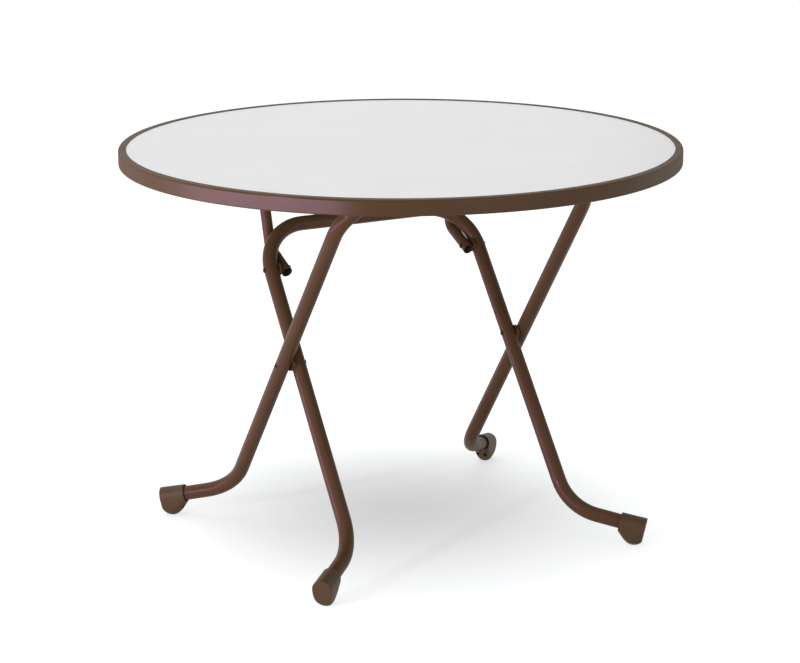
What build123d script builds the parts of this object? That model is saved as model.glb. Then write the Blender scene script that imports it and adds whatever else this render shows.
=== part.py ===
from build123d import *
import math
import os

# Folding card table with a round top on crossed tube frames.
# Units are millimetres. +Z is up, +X runs along the tube crossbars, and the origin lies on the floor
# under the centre of the top.

# Top
top_height = 714.2
top_diameter = 1000.0
laminate_thickness = 0.8
board_thickness = 12.0
backing_thickness = 0.8
board_edge_gap = 0.4

# Edge rim, rolled from sheet
rim_gauge = 1.2
rim_lip_width = 14.0
rim_height = 27.2
rim_hem_width = 5.0
rim_top_radius = 3.6
rim_hem_radius = 2.2
rim_sector_count = 8

# Clips that hold the rim to the board
rim_clip_count = 8
rim_clip_width = 22.0
rim_clip_gauge = 1.5
rim_clip_foot = 20.0
rim_clip_corner_radius = 2.5
rim_clip_screw_inset = 9.0

# Leg tubes and the crossed frames
leg_tube_diameter = 26.5
leg_tube_wall = 1.2
scissor_y = -16.0
scissor_share = 0.4542
frame_lean_deg = 36.15
outer_bar_bend = 87.0
outer_top_half_width = 246.0
outer_leg_splay = 4.3
inner_bar_drop = 124.0
inner_bar_bend = 87.0
frame_side_gap = 5.4
inner_leg_splay = 8.2
foot_corner_height = 61.9
foot_bend = 100.0
foot_length = 139.0
foot_spread_deg = 40.9
foot_drop_deg = 12.1

# Support hoop
hoop_tube_diameter = 20.0
hoop_tube_wall = 1.2
hoop_side_gap = 3.0
hoop_bolt_drop = 66.8
hoop_elbow_reach = 55.5
hoop_elbow_rise = 26.6
hoop_elbow_bend = 22.0
hoop_bar_reach = 44.96
hoop_bar_bend = 60.0
hoop_tail = 12.2

# Foot caps
cap_length = 47.0
cap_wall = 3.6
cap_flare = 1.0
cap_fullness = 0.72
cap_end_wall = 4.5
cap_heel_place = 5.4
cap_heel_share = 0.28
cap_arch_place = 17.5
cap_arch_share = 0.8
cap_sole_place = 31.5
cap_sole_flat = 1.0
cap_end_share = 0.5
cap_end_edge_radius = 1.2
cap_mouth_edge_radius = 0.7
cap_mouth_relief = 2.5
cap_mouth_depth = 6.0
cap_pocket_radius = 2.9
cap_pocket_offset = 7.2
cap_pocket_share = 0.62
cap_pocket_depth = 38.0
tread_groove_count = 6
tread_groove_width = 2.0
tread_groove_depth = 3.8
tread_pitch = 4.9

# Bolts, nuts and spacers
bolt_radius = 3.0
bolt_head_dome_share = 0.78
hoop_bolt_head_radius = 4.3
hoop_bolt_head_height = 1.6
scissor_bolt_head_radius = 3.9
scissor_bolt_head_height = 0.9
nut_radius = 4.2
nut_height = 1.4
nut_dome_share = 0.4
nut_end_wall = 0.6
spacer_radius = 12.5
spacer_saddle_depth = 2.0

# Front saddles, which hold the outer frame's crossbar
saddle_place_share = 0.66
saddle_width = 42.0
saddle_wall = 4.0
saddle_roof = 4.65
saddle_lip_deg = 40.0
saddle_flange = 16.0
saddle_flange_thickness = 4.0
saddle_edge_radius = 1.0

# Rear bearings, in which the hoop's crossbar turns
bearing_place_share = 0.7
bearing_width = 30.0
bearing_roof = 4.65
bearing_flange = 15.0
bearing_corner_radius = 2.5
strap_gauge = 2.0

# Wood screws
screw_radius = 2.0
screw_head_radius = 4.0
screw_head_height = 2.2
screw_bite = 9.0

# Clearances
running_fit = 0.05
turning_gap = 0.3
seat_gap = 0.15
snap_gap = 0.3
overrun = 20.0

# Sizes worked out from the ones above
top_radius = top_diameter / 2
leg_radius = leg_tube_diameter / 2
hoop_radius = hoop_tube_diameter / 2
laminate_top = top_height - rim_gauge
board_top = laminate_top - laminate_thickness
board_bottom = board_top - board_thickness
underside = board_bottom - backing_thickness
board_radius = top_radius - rim_gauge - board_edge_gap
board_edge_radius = rim_top_radius - rim_gauge
laminate_radius = board_radius - board_edge_radius
outer_bar_height = underside - saddle_roof - snap_gap - leg_radius
inner_bar_height = outer_bar_height - inner_bar_drop
scissor_z = foot_corner_height + (outer_bar_height - foot_corner_height) * scissor_share
lean = math.radians(frame_lean_deg)
outer_bar_y = scissor_y - (outer_bar_height - scissor_z) * math.tan(lean)
inner_bar_y = scissor_y + (inner_bar_height - scissor_z) * math.tan(lean)
foot_reach = (scissor_z - foot_corner_height) * math.tan(lean)
inner_top_half_width = outer_top_half_width - leg_tube_diameter - frame_side_gap
hoop_bar_height = underside - bearing_roof - running_fit - hoop_radius
hoop_bolt_height = inner_bar_height - hoop_bolt_drop
hoop_bolt_y = scissor_y + (hoop_bolt_height - scissor_z) * math.tan(lean)
hoop_elbow_height = hoop_bolt_height + hoop_elbow_rise
hoop_elbow_y = hoop_bolt_y + hoop_elbow_reach
hoop_bar_y = hoop_elbow_y + hoop_bar_reach
cap_mouth_along = foot_length + cap_end_wall - cap_length


def share_between(start, end, share):
    return start + (end - start) * share


def outer_leg_x(height):
    share = (outer_bar_height - height) / (outer_bar_height - foot_corner_height)
    return outer_top_half_width + outer_leg_splay * share


def inner_leg_x(height):
    share = (inner_bar_height - height) / (inner_bar_height - foot_corner_height)
    return inner_top_half_width + inner_leg_splay * share


hoop_half_width = inner_leg_x(hoop_bolt_height) - leg_radius - hoop_side_gap - hoop_radius
saddle_x = (outer_top_half_width - outer_bar_bend) * saddle_place_share
bearing_x = (hoop_half_width - hoop_bar_bend) * bearing_place_share


def foot_direction(side, way):
    # side is -1 at the left and 1 at the right; way is -1 at the front and 1 at the back
    spread = math.radians(foot_spread_deg)
    drop = math.radians(foot_drop_deg)
    return Vector(
        side * math.cos(spread) * math.cos(drop),
        way * math.sin(spread) * math.cos(drop),
        -math.sin(drop),
    )


def foot_corner(side, way):
    leg_x = outer_leg_x if way > 0 else inner_leg_x
    half_width = leg_x(foot_corner_height)
    return Vector(side * half_width, scissor_y + way * foot_reach, foot_corner_height)


def tube(path, radius, wall):
    start = Plane(origin=path @ 0, z_dir=path % 0)
    skin = sweep(start * Circle(radius), path=path)
    hollow = sweep(start * Circle(radius - wall), path=path)
    return skin - hollow


def rod(start_x, end_x, y, z, radius):
    # a plain cylinder along X
    length = abs(end_x - start_x)
    middle = (start_x + end_x) / 2
    return Pos(middle, y, z) * Rot(0, 90, 0) * Cylinder(radius, length)


def domed_disc(start_x, height, direction, y, z, radius, dome_share):
    # a disc along X from start_x, with its far edge rounded over
    body = Cylinder(radius, height, align=(Align.CENTER, Align.CENTER, Align.MIN))
    body = fillet(body.edges().group_by(Axis.Z)[-1], height * dome_share)
    return Pos(start_x, y, z) * Rot(0, 90 * direction, 0) * body


def mirrored_pair(shape):
    return [shape, mirror(shape, about=Plane.YZ)]


# Frame tubes
def outer_frame_path():
    tip_left = foot_corner(-1, 1) + foot_direction(-1, 1) * foot_length
    tip_right = foot_corner(1, 1) + foot_direction(1, 1) * foot_length
    points = [
        tip_left,
        foot_corner(-1, 1),
        Vector(-outer_top_half_width, outer_bar_y, outer_bar_height),
        Vector(outer_top_half_width, outer_bar_y, outer_bar_height),
        foot_corner(1, 1),
        tip_right,
    ]
    return FilletPolyline(*points, radius=[foot_bend, outer_bar_bend, outer_bar_bend, foot_bend])


def inner_frame_path():
    tip_left = foot_corner(-1, -1) + foot_direction(-1, -1) * foot_length
    tip_right = foot_corner(1, -1) + foot_direction(1, -1) * foot_length
    points = [
        tip_left,
        foot_corner(-1, -1),
        Vector(-inner_top_half_width, inner_bar_y, inner_bar_height),
        Vector(inner_top_half_width, inner_bar_y, inner_bar_height),
        foot_corner(1, -1),
        tip_right,
    ]
    return FilletPolyline(*points, radius=[foot_bend, inner_bar_bend, inner_bar_bend, foot_bend])


def hoop_path():
    tail_y = hoop_bolt_y - hoop_elbow_y
    tail_z = hoop_bolt_height - hoop_elbow_height
    tail = Vector(0, tail_y, tail_z).normalized() * hoop_tail
    points = []
    for side in (-1, 1):
        end = Vector(side * hoop_half_width, hoop_bolt_y, hoop_bolt_height) + tail
        elbow = Vector(side * hoop_half_width, hoop_elbow_y, hoop_elbow_height)
        corner = Vector(side * hoop_half_width, hoop_bar_y, hoop_bar_height)
        stretch = [end, elbow, corner]
        points += stretch if side < 0 else stretch[::-1]
    radii = [hoop_elbow_bend, hoop_bar_bend, hoop_bar_bend, hoop_elbow_bend]
    return FilletPolyline(*points, radius=radii)


def bolt_hole(half_width, reach, y, z):
    # a pair of clearance holes along X through both legs of a frame
    hole = rod(half_width - reach, half_width + reach, y, z, bolt_radius + running_fit)
    return mirrored_pair(hole)


def outer_frame_tube():
    body = tube(outer_frame_path(), leg_radius, leg_tube_wall)
    return body - bolt_hole(outer_leg_x(scissor_z), leg_tube_diameter, scissor_y, scissor_z)


def inner_frame_tube():
    body = tube(inner_frame_path(), leg_radius, leg_tube_wall)
    body -= bolt_hole(inner_leg_x(scissor_z), leg_tube_diameter, scissor_y, scissor_z)
    half_width = inner_leg_x(hoop_bolt_height)
    return body - bolt_hole(half_width, leg_tube_diameter, hoop_bolt_y, hoop_bolt_height)


def support_hoop_tube():
    body = tube(hoop_path(), hoop_radius, hoop_tube_wall)
    return body - bolt_hole(hoop_half_width, hoop_tube_diameter, hoop_bolt_y, hoop_bolt_height)


# Foot caps
def cap_section(along, depth):
    # egg outline across the foot: a half round over the tube's axis, a full round lobe below it
    top = leg_radius + cap_wall + cap_flare * along / cap_length
    outline = CenterArc((0, 0), top, 0, 180)
    for side in (-1, 1):
        flank = (side * top, -depth * cap_fullness)
        belly = (side * top * cap_fullness, -depth)
        outline += Bezier((side * top, 0), flank, belly, (0, -depth))
    return Plane.YZ.offset(along) * make_face(outline)


def foot_cap_shape():
    # local frame: X along the foot from the mouth, Z up across it
    drop = math.radians(foot_drop_deg)
    mouth_height = foot_corner_height - cap_mouth_along * math.sin(drop)

    def floor_at(along):
        return (along * math.sin(drop) - mouth_height) / math.cos(drop)

    shallow = leg_radius + cap_wall
    deep = cap_sole_flat - floor_at(cap_sole_place)
    stations = [
        (0, shallow),
        (cap_heel_place, share_between(shallow, deep, cap_heel_share)),
        (cap_arch_place, share_between(shallow, deep, cap_arch_share)),
        (cap_sole_place, deep),
        (cap_length, share_between(shallow, deep, cap_end_share)),
    ]
    cap = loft([cap_section(along, depth) for along, depth in stations])
    ends = cap.faces().filter_by(Axis.X).sort_by(Axis.X)
    cap = fillet(ends[-1].edges(), cap_end_edge_radius)
    ends = cap.faces().filter_by(Axis.X).sort_by(Axis.X)
    cap = fillet(ends[0].edges(), cap_mouth_edge_radius)
    level = Pos(cap_sole_place, 0, floor_at(cap_sole_place)) * Rot(0, -foot_drop_deg, 0)
    cap -= level * Box(
        cap_length + overrun, cap_length, overrun, align=(Align.CENTER, Align.CENTER, Align.MAX)
    )
    for index in range(tread_groove_count):
        along = (index - (tread_groove_count - 1) / 2) * tread_pitch
        cap -= level * Pos(along, 0, 0) * Box(tread_groove_width, cap_length, tread_groove_depth * 2)
    bore = Cylinder(leg_radius + running_fit, cap_length, align=(Align.CENTER, Align.CENTER, Align.MAX))
    cap -= Pos(cap_length - cap_end_wall + running_fit, 0, 0) * Rot(0, 90, 0) * bore
    inwards = (Align.CENTER, Align.CENTER, Align.MIN)
    cap -= Rot(0, 90, 0) * Cylinder(leg_radius + cap_mouth_relief, cap_mouth_depth, align=inwards)
    pocket = Cylinder(cap_pocket_radius, cap_pocket_depth, align=inwards)
    for offset in (-cap_pocket_offset, cap_pocket_offset):
        cap -= Pos(0, offset, -deep * cap_pocket_share) * Rot(0, 90, 0) * pocket
    return cap


def foot_cap(side, way):
    along = foot_direction(side, way)
    mouth = foot_corner(side, way) + along * cap_mouth_along
    across = Vector(0, 0, 1).cross(along).normalized()
    place = Plane(origin=mouth, x_dir=along, z_dir=along.cross(across))
    return place.location * foot_cap_shape()


# Bolts, nuts and spacers
def bolt_pair(head_x, end_x, y, z, head_radius, head_height):
    # head on the outer side, shank towards the middle
    head = domed_disc(head_x, head_height, 1, y, z, head_radius, bolt_head_dome_share)
    shank = rod(end_x, head_x, y, z, bolt_radius)
    return mirrored_pair(head + shank)


def nut_pair(face_x, y, z):
    # closed domed nut, open towards the outer side
    nut = domed_disc(face_x, nut_height, -1, y, z, nut_radius, nut_dome_share)
    thread = rod(face_x + overrun, face_x - nut_height + nut_end_wall, y, z, bolt_radius + running_fit)
    return mirrored_pair(nut - thread)


def spacer_pair(start_x, end_x, y, z):
    # a washer whose one face is moulded to the round of the inner frame's leg
    ring = rod(start_x, end_x, y, z, spacer_radius)
    ring -= rod(start_x - overrun, end_x + overrun, y, z, bolt_radius + running_fit)
    path = inner_frame_path()
    start = Plane(origin=path @ 0, z_dir=path % 0)
    seat = sweep(start * Circle(leg_radius + seat_gap), path=path)
    return mirrored_pair(ring - seat)


def scissor_hardware():
    outer_x = outer_leg_x(scissor_z)
    inner_x = inner_leg_x(scissor_z)
    head_x = outer_x + leg_radius + turning_gap
    nut_x = inner_x - leg_radius - seat_gap
    end_x = nut_x - nut_height + nut_end_wall + seat_gap
    head = (scissor_bolt_head_radius, scissor_bolt_head_height)
    bolts = bolt_pair(head_x, end_x, scissor_y, scissor_z, *head)
    nuts = nut_pair(nut_x, scissor_y, scissor_z)
    start_x = inner_x + leg_radius - spacer_saddle_depth
    spacers = spacer_pair(start_x, outer_x - leg_radius - turning_gap, scissor_y, scissor_z)
    return bolts, nuts, spacers


def hoop_hardware():
    inner_x = inner_leg_x(hoop_bolt_height)
    head_x = inner_x + leg_radius + seat_gap
    nut_x = hoop_half_width - hoop_radius - turning_gap
    end_x = nut_x - nut_height + nut_end_wall + seat_gap
    head = (hoop_bolt_head_radius, hoop_bolt_head_height)
    bolts = bolt_pair(head_x, end_x, hoop_bolt_y, hoop_bolt_height, *head)
    nuts = nut_pair(nut_x, hoop_bolt_y, hoop_bolt_height)
    start_x = hoop_half_width + hoop_radius + turning_gap
    end_x = inner_x - leg_radius + spacer_saddle_depth
    spacers = spacer_pair(start_x, end_x, hoop_bolt_y, hoop_bolt_height)
    return bolts, nuts, spacers


# Wood screws, driven upwards into the board
def wood_screw(x, y, seat_height):
    head = Cylinder(screw_head_radius, screw_head_height, align=(Align.CENTER, Align.CENTER, Align.MAX))
    head = fillet(head.edges().group_by(Axis.Z)[0], screw_head_height / 2)
    length = underside + screw_bite - seat_height
    shank = Cylinder(screw_radius, length, align=(Align.CENTER, Align.CENTER, Align.MIN))
    return Pos(x, y, seat_height) * (head + shank)


def screw_hole(x, y):
    # from below the underside to just past the screw's point
    height = overrun + screw_bite + running_fit
    hole = Cylinder(screw_radius + running_fit, height, align=(Align.CENTER, Align.CENTER, Align.MIN))
    return Pos(x, y, underside - overrun) * hole


def saddle_screw_places():
    reach = leg_radius + snap_gap + saddle_wall + saddle_flange / 2
    return [
        (side * saddle_x, outer_bar_y + way * reach)
        for side in (-1, 1)
        for way in (-1, 1)
    ]


def bearing_screw_places():
    reach = hoop_radius + running_fit + strap_gauge + bearing_flange / 2
    return [
        (side * bearing_x, hoop_bar_y + way * reach)
        for side in (-1, 1)
        for way in (-1, 1)
    ]


def rim_clip_angles():
    return [360 / rim_clip_count * index for index in range(rim_clip_count)]


def rim_clip_screw_places():
    reach = board_radius - rim_clip_foot + rim_clip_screw_inset
    return [
        (reach * math.cos(math.radians(angle)), reach * math.sin(math.radians(angle)))
        for angle in rim_clip_angles()
    ]


# Front saddles: the seat covers the bar's back and top and stays open downwards and to the front
def front_saddle(side):
    seat = leg_radius + snap_gap
    block_depth = (seat + saddle_wall) * 2
    block_height = underside - outer_bar_height
    middle = outer_bar_height + block_height / 2
    block = Pos(0, outer_bar_y, middle) * Box(saddle_width, block_depth, block_height)
    flange_depth = block_depth + saddle_flange * 2
    flange_z = underside - saddle_flange_thickness / 2
    flange = Pos(0, outer_bar_y, flange_z) * Box(saddle_width, flange_depth, saddle_flange_thickness)
    body = block + flange
    lip_height = outer_bar_height + seat * math.sin(math.radians(saddle_lip_deg))
    front_cut = Box(
        saddle_width + overrun, block_depth, block_height, align=(Align.CENTER, Align.MAX, Align.MAX)
    )
    body -= Pos(0, outer_bar_y, lip_height) * front_cut
    corners = body.edges().filter_by(Axis.Z)
    body = fillet(corners, saddle_edge_radius)
    body -= rod(-saddle_width, saddle_width, outer_bar_y, outer_bar_height, seat)
    body = Pos(side * saddle_x, 0, 0) * body
    return body - [screw_hole(x, y) for x, y in saddle_screw_places()]


# Rear bearings: an upper block and a steel strap, held by the same screws
def bearing_block(side):
    bore = hoop_radius + running_fit
    depth = (bore + strap_gauge + bearing_flange) * 2
    height = underside - hoop_bar_height
    body = Pos(0, hoop_bar_y, hoop_bar_height + height / 2) * Box(bearing_width, depth, height)
    body = fillet(body.edges().filter_by(Axis.Z), bearing_corner_radius)
    body -= rod(-bearing_width, bearing_width, hoop_bar_y, hoop_bar_height, bore)
    body = Pos(side * bearing_x, 0, 0) * body
    return body - [screw_hole(x, y) for x, y in bearing_screw_places()]


def bearing_strap(side):
    bore = hoop_radius + running_fit
    depth = (bore + strap_gauge + bearing_flange) * 2
    top = hoop_bar_height - seat_gap
    flange = Pos(0, hoop_bar_y, top - strap_gauge / 2) * Box(bearing_width, depth, strap_gauge)
    flange = fillet(flange.edges().filter_by(Axis.Z), bearing_corner_radius)
    bow = rod(-bearing_width / 2, bearing_width / 2, hoop_bar_y, hoop_bar_height, bore + strap_gauge)
    body = flange + bow
    above = Box(
        bearing_width + overrun, depth, depth, align=(Align.CENTER, Align.CENTER, Align.MIN)
    )
    body -= Pos(0, hoop_bar_y, top) * above
    body -= rod(-bearing_width, bearing_width, hoop_bar_y, hoop_bar_height, bore)
    body = Pos(side * bearing_x, 0, 0) * body
    return body - [screw_hole(x, y) for x, y in bearing_screw_places()]


# Top
def disc(radius, bottom, top):
    return Pos(0, 0, bottom) * Cylinder(
        radius, top - bottom, align=(Align.CENTER, Align.CENTER, Align.MIN)
    )


def all_screw_places():
    return saddle_screw_places() + bearing_screw_places() + rim_clip_screw_places()


def table_board():
    body = disc(board_radius, board_bottom, board_top)
    body = fillet(body.edges().group_by(Axis.Z)[-1], board_edge_radius)
    return body - [screw_hole(x, y) for x, y in all_screw_places()]


def backing_sheet():
    body = disc(board_radius, underside, board_bottom)
    return body - [screw_hole(x, y) for x, y in all_screw_places()]


def top_laminate():
    return disc(laminate_radius, board_top, laminate_top)


def edge_rim():
    # one closed outline in the XZ plane, turned about Z in equal sectors; their walls are sewn into one
    # ring, so that its inner and outer walls are divided at the same places
    lip_end = top_radius - rim_lip_width
    low = top_height - rim_height
    hem_end = top_radius - rim_hem_width
    outside = FilletPolyline(
        (lip_end, top_height),
        (top_radius, top_height),
        (top_radius, low),
        (hem_end, low),
        radius=[rim_top_radius, rim_hem_radius],
    )
    inner_radius = top_radius - rim_gauge
    inside = FilletPolyline(
        (lip_end, top_height - rim_gauge),
        (inner_radius, top_height - rim_gauge),
        (inner_radius, low + rim_gauge),
        (hem_end, low + rim_gauge),
        radius=[rim_top_radius - rim_gauge, rim_hem_radius - rim_gauge],
    )
    outline = outside + inside
    outline += Line((lip_end, top_height), (lip_end, top_height - rim_gauge))
    outline += Line((hem_end, low), (hem_end, low + rim_gauge))
    turn = 360 / rim_sector_count
    sector = revolve(make_face(Plane.XZ * outline), axis=Axis.Z, revolution_arc=turn)
    flat_walls = sector.faces().filter_by(Axis.Z)
    round_walls = sector.faces().filter_by(GeomType.PLANE, reverse=True)
    walls = []
    for index in range(rim_sector_count):
        place = Rot(0, 0, turn * index - turn / 2)
        walls += [place * wall for wall in flat_walls + round_walls]
    return Solid(Shell(walls))


def rim_clip(angle):
    # an angle clip: a foot under the board and a flat upright inside the round rim, over its hem
    rim_inside = top_radius - rim_gauge - snap_gap
    inner = math.sqrt(rim_inside**2 - (rim_clip_width / 2) ** 2)
    hem_top = top_height - rim_height + rim_hem_radius + seat_gap
    height = underside - hem_top
    foot_start = board_radius - rim_clip_foot
    foot_depth = inner - foot_start
    foot = Box(
        foot_depth, rim_clip_width, rim_clip_gauge, align=(Align.MIN, Align.CENTER, Align.MAX)
    )
    upright = Box(
        rim_clip_gauge, rim_clip_width, height, align=(Align.MAX, Align.CENTER, Align.MAX)
    )
    body = Pos(foot_start, 0, underside) * foot + Pos(inner, 0, underside) * upright
    corner = body.edges().filter_by(Axis.Y).sort_by_distance((inner, 0, underside))[0]
    body = fillet(corner, rim_clip_gauge)
    toes = body.edges().filter_by(Axis.Z).sort_by(Axis.X)[:2]
    body = fillet(toes, rim_clip_corner_radius)
    body -= screw_hole(foot_start + rim_clip_screw_inset, 0)
    return Rot(0, 0, angle) * body


def screw_group(places, seat_height):
    return [wood_screw(x, y, seat_height) for x, y in places]


scissor_bolts, scissor_nuts, scissor_spacers = scissor_hardware()
hoop_bolts, hoop_nuts, hoop_spacers = hoop_hardware()

nodes = {
    "table_board": table_board(),
    "backing_sheet": backing_sheet(),
    "top_laminate": top_laminate(),
    "edge_rim": edge_rim(),
    "rim_clips": [rim_clip(angle) for angle in rim_clip_angles()],
    "rim_clip_screws": screw_group(rim_clip_screw_places(), underside - rim_clip_gauge),
    "front_saddle_left": front_saddle(-1),
    "front_saddle_right": front_saddle(1),
    "front_saddle_screws": screw_group(saddle_screw_places(), underside - saddle_flange_thickness),
    "rear_bearing_block_left": bearing_block(-1),
    "rear_bearing_block_right": bearing_block(1),
    "rear_bearing_strap_left": bearing_strap(-1),
    "rear_bearing_strap_right": bearing_strap(1),
    "rear_bearing_screws": screw_group(bearing_screw_places(), hoop_bar_height - seat_gap - strap_gauge),
    "support_hoop_tube": support_hoop_tube(),
    "inner_frame_tube": inner_frame_tube(),
    "foot_cap_front_left": foot_cap(-1, -1),
    "foot_cap_front_right": foot_cap(1, -1),
    "hoop_bolts": hoop_bolts,
    "hoop_nuts": hoop_nuts,
    "hoop_spacers": hoop_spacers,
    "scissor_bolts": scissor_bolts,
    "scissor_nuts": scissor_nuts,
    "scissor_spacers": scissor_spacers,
    "outer_frame_tube": outer_frame_tube(),
    "foot_cap_back_left": foot_cap(-1, 1),
    "foot_cap_back_right": foot_cap(1, 1),
}

os.makedirs("parts", exist_ok=True)
for name, shape in nodes.items():
    if isinstance(shape, list):
        shape = Compound(children=shape)
    export_step(shape, f"parts/{name}.step")
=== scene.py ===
import math

import bpy
from mathutils import Matrix, Vector

# Looks of the folding card table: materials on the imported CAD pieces, floor, light and camera.
# Lengths are in metres, in the CAD's own frame, and angles in degrees.
# The lens and the sensor are in millimetres.

# Camera, fitted to the photograph
CAMERA_PLACE = Vector((-2.1426, -3.8484, 1.5127))
CAMERA_AIM = Vector((-0.0018, 0.0010, 0.3690))
CAMERA_ROLL = -0.14
LENS = 112.98
SENSOR_WIDTH = 36.0

# Floor: what it shows to the eye grows from the shadow's middle outwards, up to full white; the dimmer glow
# near the table is a painted shadow over the real one
FLOOR_SIZE = 60.0
FLOOR_TINT = (0.97, 1.0, 0.99)
FLOOR_DIFFUSE = 0.6
# glow in the painted shadow's middle, and the even white glow far from the table
FLOOR_GLOW_IN_PAINTED_SHADOW = 0.335
FLOOR_GLOW_HIGH = 0.8
# middle of the painted shadow, and the distances over which it fades out
PAINTED_SHADOW_MIDDLE = (0.034, 0.1, 0.0)
PAINTED_SHADOW_INNER = 0.0
PAINTED_SHADOW_OUTER = 0.69

# Lamps: name, place, aim, width, height, watts, colour
WHITE = (1.0, 1.0, 1.0)
LAMPS = (
    ("left_panel", (-2.5, -0.3, 0.37), (0, -0.1, 0.4), 3.4, 0.68, 60, (0.95, 0.7, 1.0)),
    ("back_panel", (0.3, 1.35, 1.4), (0.1, 0.1, 0.71), 2.2, 0.4, 4.2, WHITE),
    ("front_panel", (0.9, -4.4, 1.0), (0, 0, 0.6), 5.0, 1.4, 44, (1.0, 0.98, 0.92)),
    ("ceiling", (-0.5, 1.1, 5.4), (0, 0, 0.6), 4.0, 4.0, 83, WHITE),
    ("spot_left", (-2.4, -0.75, 0.98), (0, 0, 0.2), 0.1, 0.1, 10, (0.85, 1.0, 0.9)),
)

# World: the first strength lights the object, and the second is the white that the eye and mirrors see
WORLD_STRENGTH = 0.38
WORLD_SHOWN = 1.0

# Pieces of each material
TUBES = (
    "outer_frame_tube",
    "inner_frame_tube",
    "support_hoop_tube",
    "hoop_spacers",
    "scissor_spacers",
)
RIM = ("edge_rim",)
CAPS = ("foot_cap_front_left", "foot_cap_front_right", "foot_cap_back_left", "foot_cap_back_right")
BEARINGS = (
    "front_saddle_left",
    "front_saddle_right",
    "rear_bearing_block_left",
    "rear_bearing_block_right",
)
BOLTS = ("hoop_bolts", "hoop_nuts", "scissor_bolts", "scissor_nuts")
STRAPS_AND_SCREWS = (
    "rear_bearing_strap_left",
    "rear_bearing_strap_right",
    "rear_bearing_screws",
    "front_saddle_screws",
    "rim_clips",
    "rim_clip_screws",
)
LAMINATE = ("top_laminate",)
BOARD = ("table_board",)
BACKING = ("backing_sheet",)

# Places of the colours on a ramp: two close together, two further apart, or three evenly spread
CLOSE_PLACES = (0.35, 0.65)
APART_PLACES = (0.3, 0.7)
THREE_PLACES = (0.0, 0.5, 1.0)

# Finishes of single materials: the first is how much duller enamel gets at a grazing angle
EDGE_DULLNESS = 0.55
LAMINATE_LEVEL = 0.25
CHIP_SCALE = 320
BOARD_ROUGHNESS = 0.85
BACKING_ROUGHNESS = 0.6


def new_material(name):
    material = bpy.data.materials.new(name)
    material.use_nodes = True
    nodes = material.node_tree.nodes
    links = material.node_tree.links
    return material, nodes, links, nodes["Principled BSDF"]


def object_noise(nodes, links, scale, detail, roughness=0.55, stretch=(1, 1, 1)):
    coordinates = nodes.new("ShaderNodeTexCoord")
    mapping = nodes.new("ShaderNodeMapping")
    mapping.inputs["Scale"].default_value = stretch
    noise = nodes.new("ShaderNodeTexNoise")
    noise.inputs["Scale"].default_value = scale
    noise.inputs["Detail"].default_value = detail
    noise.inputs["Roughness"].default_value = roughness
    links.new(coordinates.outputs["Object"], mapping.inputs["Vector"])
    links.new(mapping.outputs["Vector"], noise.inputs["Vector"])
    return noise.outputs["Fac"]


def value_range(nodes, links, source, low, high):
    remap = nodes.new("ShaderNodeMapRange")
    remap.inputs["To Min"].default_value = low
    remap.inputs["To Max"].default_value = high
    links.new(source, remap.inputs["Value"])
    return remap.outputs["Result"]


def sum_of(nodes, links, first, second, clamp=False):
    total = nodes.new("ShaderNodeMath")
    total.operation = "ADD"
    total.use_clamp = clamp
    links.new(first, total.inputs[0])
    links.new(second, total.inputs[1])
    return total.outputs["Value"]


def set_colour(nodes, links, shader, source, places, colours):
    # base colour from a ramp; a new ramp has two places, so a third is added between them
    ramp = nodes.new("ShaderNodeValToRGB")
    elements = ramp.color_ramp.elements
    if len(places) > len(elements):
        elements.new(places[1])
    for element, place, colour in zip(elements, places, colours):
        element.position = place
        element.color = (*colour, 1)
    links.new(source, ramp.inputs["Fac"])
    links.new(ramp.outputs["Color"], shader.inputs["Base Color"])


def set_roughness(nodes, links, shader, source, low, high):
    links.new(value_range(nodes, links, source, low, high), shader.inputs["Roughness"])


def add_bump(nodes, links, shader, source, strength, distance):
    bump = nodes.new("ShaderNodeBump")
    bump.inputs["Strength"].default_value = strength
    bump.inputs["Distance"].default_value = distance
    links.new(source, bump.inputs["Height"])
    links.new(bump.outputs["Normal"], shader.inputs["Normal"])


def enamel(name, dark, light, roughness_low, roughness_high, edge_blend, tint, level):
    # stove enamel on metal: faint cloudiness, orange peel, small changes of gloss, duller at grazing angles
    material, nodes, links, shader = new_material(name)
    cloud = object_noise(nodes, links, scale=9, detail=4)
    set_colour(nodes, links, shader, cloud, CLOSE_PLACES, (dark, light))
    smear = object_noise(nodes, links, scale=26, detail=5, roughness=0.6)
    gloss = value_range(nodes, links, smear, roughness_low, roughness_high)
    edge = nodes.new("ShaderNodeLayerWeight")
    edge.inputs["Blend"].default_value = edge_blend
    dull = value_range(nodes, links, edge.outputs["Facing"], 0.0, EDGE_DULLNESS)
    links.new(sum_of(nodes, links, gloss, dull), shader.inputs["Roughness"])
    peel = object_noise(nodes, links, scale=420, detail=1)
    add_bump(nodes, links, shader, peel, strength=0.12, distance=0.0004)
    shader.inputs["Specular IOR Level"].default_value = level
    shader.inputs["Specular Tint"].default_value = (*tint, 1)
    return material


def tube_enamel():
    return enamel(
        "tube_enamel",
        dark=(0.078, 0.045, 0.020),
        light=(0.088, 0.052, 0.023),
        roughness_low=0.09,
        roughness_high=0.14,
        edge_blend=0.27,
        tint=(1.0, 0.36, 0.72),
        level=0.12,
    )


def rim_enamel():
    return enamel(
        "rim_enamel",
        dark=(0.061, 0.031, 0.008),
        light=(0.069, 0.036, 0.010),
        roughness_low=0.18,
        roughness_high=0.26,
        edge_blend=0.4,
        tint=(1.0, 0.82, 0.92),
        level=0.24,
    )


def moulded(name, dark, light, roughness_low, roughness_high, grain_scale, level):
    # moulded plastic: fine grain, slight flow marks
    material, nodes, links, shader = new_material(name)
    flow = object_noise(nodes, links, scale=38, detail=4)
    set_colour(nodes, links, shader, flow, APART_PLACES, (dark, light))
    smear = object_noise(nodes, links, scale=70, detail=4)
    set_roughness(nodes, links, shader, smear, roughness_low, roughness_high)
    grain = object_noise(nodes, links, grain_scale, detail=2)
    add_bump(nodes, links, shader, grain, strength=0.25, distance=0.0003)
    shader.inputs["Specular IOR Level"].default_value = level
    return material


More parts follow.
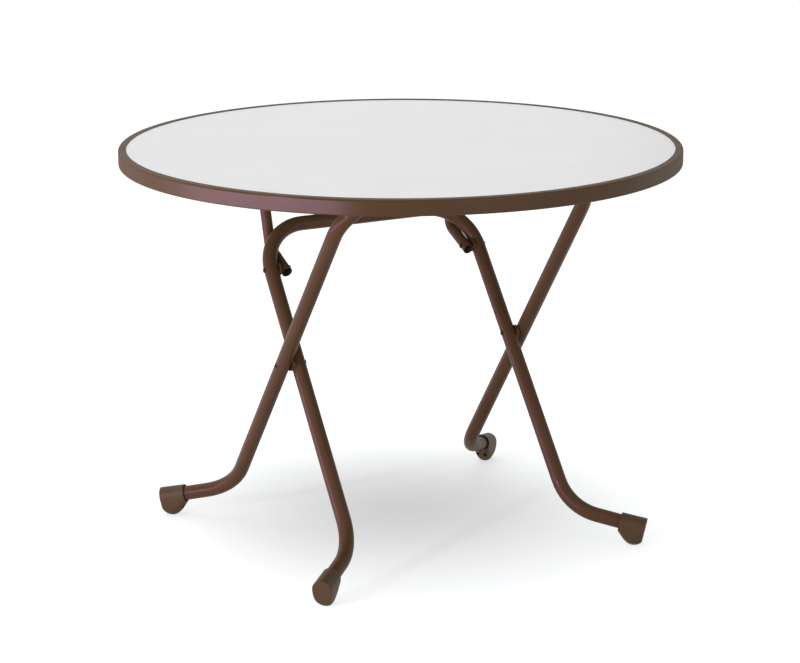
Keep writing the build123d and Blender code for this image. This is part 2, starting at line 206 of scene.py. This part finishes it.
def cap_plastic():
    return moulded(
        "cap_plastic",
        dark=(0.072, 0.045, 0.020),
        light=(0.084, 0.052, 0.025),
        roughness_low=0.40,
        roughness_high=0.50,
        grain_scale=700,
        level=0.15,
    )


def black_plastic():
    return moulded(
        "black_plastic",
        dark=(0.012, 0.011, 0.010),
        light=(0.02, 0.018, 0.016),
        roughness_low=0.4,
        roughness_high=0.55,
        grain_scale=600,
        level=0.15,
    )


def plated(name, dark, light, metallic, level, roughness_low, roughness_high):
    # plated or blackened steel with a cloudy finish
    material, nodes, links, shader = new_material(name)
    cloud = object_noise(nodes, links, scale=120, detail=5)
    set_colour(nodes, links, shader, cloud, APART_PLACES, (dark, light))
    smear = object_noise(nodes, links, scale=340, detail=4)
    set_roughness(nodes, links, shader, smear, roughness_low, roughness_high)
    shader.inputs["Metallic"].default_value = metallic
    shader.inputs["Specular IOR Level"].default_value = level
    add_bump(nodes, links, shader, smear, strength=0.08, distance=0.0002)
    return material


def black_steel():
    return plated(
        "black_steel",
        dark=(0.010, 0.007, 0.005),
        light=(0.017, 0.012, 0.009),
        metallic=0.0,
        level=0.12,
        roughness_low=0.35,
        roughness_high=0.5,
    )


def zinc():
    return plated(
        "zinc",
        dark=(0.55, 0.55, 0.53),
        light=(0.68, 0.68, 0.66),
        metallic=1.0,
        level=0.5,
        roughness_low=0.28,
        roughness_high=0.42,
    )


def laminate():
    # satin decorative laminate: nearly even, with a fine crystal texture
    material, nodes, links, shader = new_material("laminate")
    cloud = object_noise(nodes, links, scale=5, detail=5, roughness=0.6)
    dark = (0.84, 0.845, 0.84)
    light = (0.865, 0.87, 0.865)
    set_colour(nodes, links, shader, cloud, APART_PLACES, (dark, light))
    smear = object_noise(nodes, links, scale=12, detail=5)
    set_roughness(nodes, links, shader, smear, low=0.32, high=0.42)
    shader.inputs["Specular IOR Level"].default_value = LAMINATE_LEVEL
    crystal = object_noise(nodes, links, scale=900, detail=2)
    add_bump(nodes, links, shader, crystal, strength=0.1, distance=0.0002)
    return material


def chipboard():
    # raw particle board: pale chips of several browns
    material, nodes, links, shader = new_material("chipboard")
    coordinates = nodes.new("ShaderNodeTexCoord")
    chips = nodes.new("ShaderNodeTexVoronoi")
    chips.inputs["Scale"].default_value = CHIP_SCALE
    links.new(coordinates.outputs["Object"], chips.inputs["Vector"])
    dark = (0.30, 0.20, 0.11)
    middle = (0.52, 0.39, 0.24)
    light = (0.66, 0.53, 0.36)
    set_colour(nodes, links, shader, chips.outputs["Color"], THREE_PLACES, (dark, middle, light))
    shader.inputs["Roughness"].default_value = BOARD_ROUGHNESS
    add_bump(nodes, links, shader, chips.outputs["Distance"], strength=0.5, distance=0.0006)
    return material


def backing_paper():
    # resin-soaked kraft paper: brown-grey, with fibres along the sheet
    material, nodes, links, shader = new_material("backing_paper")
    fibres = object_noise(nodes, links, scale=60, detail=6, roughness=0.7, stretch=(1, 7, 1))
    dark = (0.36, 0.29, 0.21)
    light = (0.44, 0.37, 0.28)
    set_colour(nodes, links, shader, fibres, CLOSE_PLACES, (dark, light))
    shader.inputs["Roughness"].default_value = BACKING_ROUGHNESS
    add_bump(nodes, links, shader, fibres, strength=0.15, distance=0.0003)
    return material


def background_rays(nodes, links):
    # 1 for the rays that show the background: to the eye, mirrored, or through something clear
    path = nodes.new("ShaderNodeLightPath")
    seen = sum_of(nodes, links, path.outputs["Is Camera Ray"], path.outputs["Is Glossy Ray"])
    return sum_of(nodes, links, seen, path.outputs["Is Transmission Ray"], clamp=True)


def painted_shadow_glow_level(nodes, links):
    # strength of the floor's glow, from a dim painted shadow at the shadow's middle to full white away from
    # the table
    coordinates = nodes.new("ShaderNodeTexCoord")
    distance = nodes.new("ShaderNodeVectorMath")
    distance.operation = "DISTANCE"
    distance.inputs[1].default_value = PAINTED_SHADOW_MIDDLE
    links.new(coordinates.outputs["Object"], distance.inputs[0])
    level = nodes.new("ShaderNodeMapRange")
    level.interpolation_type = "SMOOTHSTEP"
    level.inputs["From Min"].default_value = PAINTED_SHADOW_INNER
    level.inputs["From Max"].default_value = PAINTED_SHADOW_OUTER
    level.inputs["To Min"].default_value = FLOOR_GLOW_IN_PAINTED_SHADOW
    level.inputs["To Max"].default_value = FLOOR_GLOW_HIGH
    links.new(distance.outputs["Value"], level.inputs["Value"])
    return level.outputs["Result"]


def white_floor():
    # a diffuse floor keeps the real shadow, and its glow is there only for the rays that show the
    # background; the glow is dimmer near the table, which is painted shadow
    material, nodes, links, shader = new_material("floor")
    nodes.remove(shader)
    diffuse = nodes.new("ShaderNodeBsdfDiffuse")
    diffuse.inputs["Color"].default_value = (*[FLOOR_DIFFUSE * part for part in FLOOR_TINT], 1)
    strength = nodes.new("ShaderNodeMath")
    strength.operation = "MULTIPLY"
    links.new(background_rays(nodes, links), strength.inputs[0])
    links.new(painted_shadow_glow_level(nodes, links), strength.inputs[1])
    glow = nodes.new("ShaderNodeEmission")
    glow.inputs["Color"].default_value = (*FLOOR_TINT, 1)
    links.new(strength.outputs["Value"], glow.inputs["Strength"])
    both = nodes.new("ShaderNodeAddShader")
    links.new(diffuse.outputs["BSDF"], both.inputs[0])
    links.new(glow.outputs["Emission"], both.inputs[1])
    links.new(both.outputs["Shader"], nodes["Material Output"].inputs["Surface"])
    return material


def assign(names, material):
    for name in names:
        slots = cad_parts[name].data.materials
        slots.clear()
        slots.append(material)


def add_floor():
    half = FLOOR_SIZE / 2
    mesh = bpy.data.meshes.new("floor")
    corners = [(-half, -half, 0), (half, -half, 0), (half, half, 0), (-half, half, 0)]
    mesh.from_pydata(corners, [], [(0, 1, 2, 3)])
    mesh.materials.append(white_floor())
    floor = bpy.data.objects.new("floor", mesh)
    bpy.context.scene.collection.objects.link(floor)


def add_world():
    world = bpy.data.worlds.new("studio")
    bpy.context.scene.world = world
    world.use_nodes = True
    nodes = world.node_tree.nodes
    links = world.node_tree.links
    background = nodes["Background"]
    background.inputs["Color"].default_value = (*WHITE, 1)
    strength = value_range(nodes, links, background_rays(nodes, links), WORLD_STRENGTH, WORLD_SHOWN)
    links.new(strength, background.inputs["Strength"])


def add_lamp(name, place, aim, width, height, watts, colour):
    light = bpy.data.lights.new(name, "AREA")
    light.shape = "RECTANGLE"
    light.size = width
    light.size_y = height
    light.energy = watts
    light.color = colour
    lamp = bpy.data.objects.new(name, light)
    lamp.location = place
    lamp.rotation_euler = (Vector(aim) - Vector(place)).to_track_quat("-Z", "Y").to_euler()
    bpy.context.scene.collection.objects.link(lamp)


def add_camera():
    data = bpy.data.cameras.new("camera")
    data.lens = LENS
    data.sensor_width = SENSOR_WIDTH
    camera = bpy.data.objects.new("camera", data)
    look = (CAMERA_AIM - CAMERA_PLACE).to_track_quat("-Z", "Y").to_matrix().to_4x4()
    roll = Matrix.Rotation(math.radians(CAMERA_ROLL), 4, "Z")
    camera.matrix_world = Matrix.Translation(CAMERA_PLACE) @ look @ roll
    bpy.context.scene.collection.objects.link(camera)
    bpy.context.scene.camera = camera


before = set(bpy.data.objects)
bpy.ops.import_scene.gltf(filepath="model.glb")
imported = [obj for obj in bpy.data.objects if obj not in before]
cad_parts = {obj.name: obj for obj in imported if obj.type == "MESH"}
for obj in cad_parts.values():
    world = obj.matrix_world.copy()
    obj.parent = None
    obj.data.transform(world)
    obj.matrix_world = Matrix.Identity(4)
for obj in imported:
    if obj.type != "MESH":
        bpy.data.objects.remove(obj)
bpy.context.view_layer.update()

assign(TUBES, tube_enamel())
assign(RIM, rim_enamel())
assign(CAPS, cap_plastic())
assign(BEARINGS, black_plastic())
assign(BOLTS, black_steel())
assign(STRAPS_AND_SCREWS, zinc())
assign(LAMINATE, laminate())
assign(BOARD, chipboard())
assign(BACKING, backing_paper())

add_floor()
add_world()
for lamp in LAMPS:
    add_lamp(*lamp)
add_camera()
bpy.context.scene.view_settings.view_transform = "Standard"
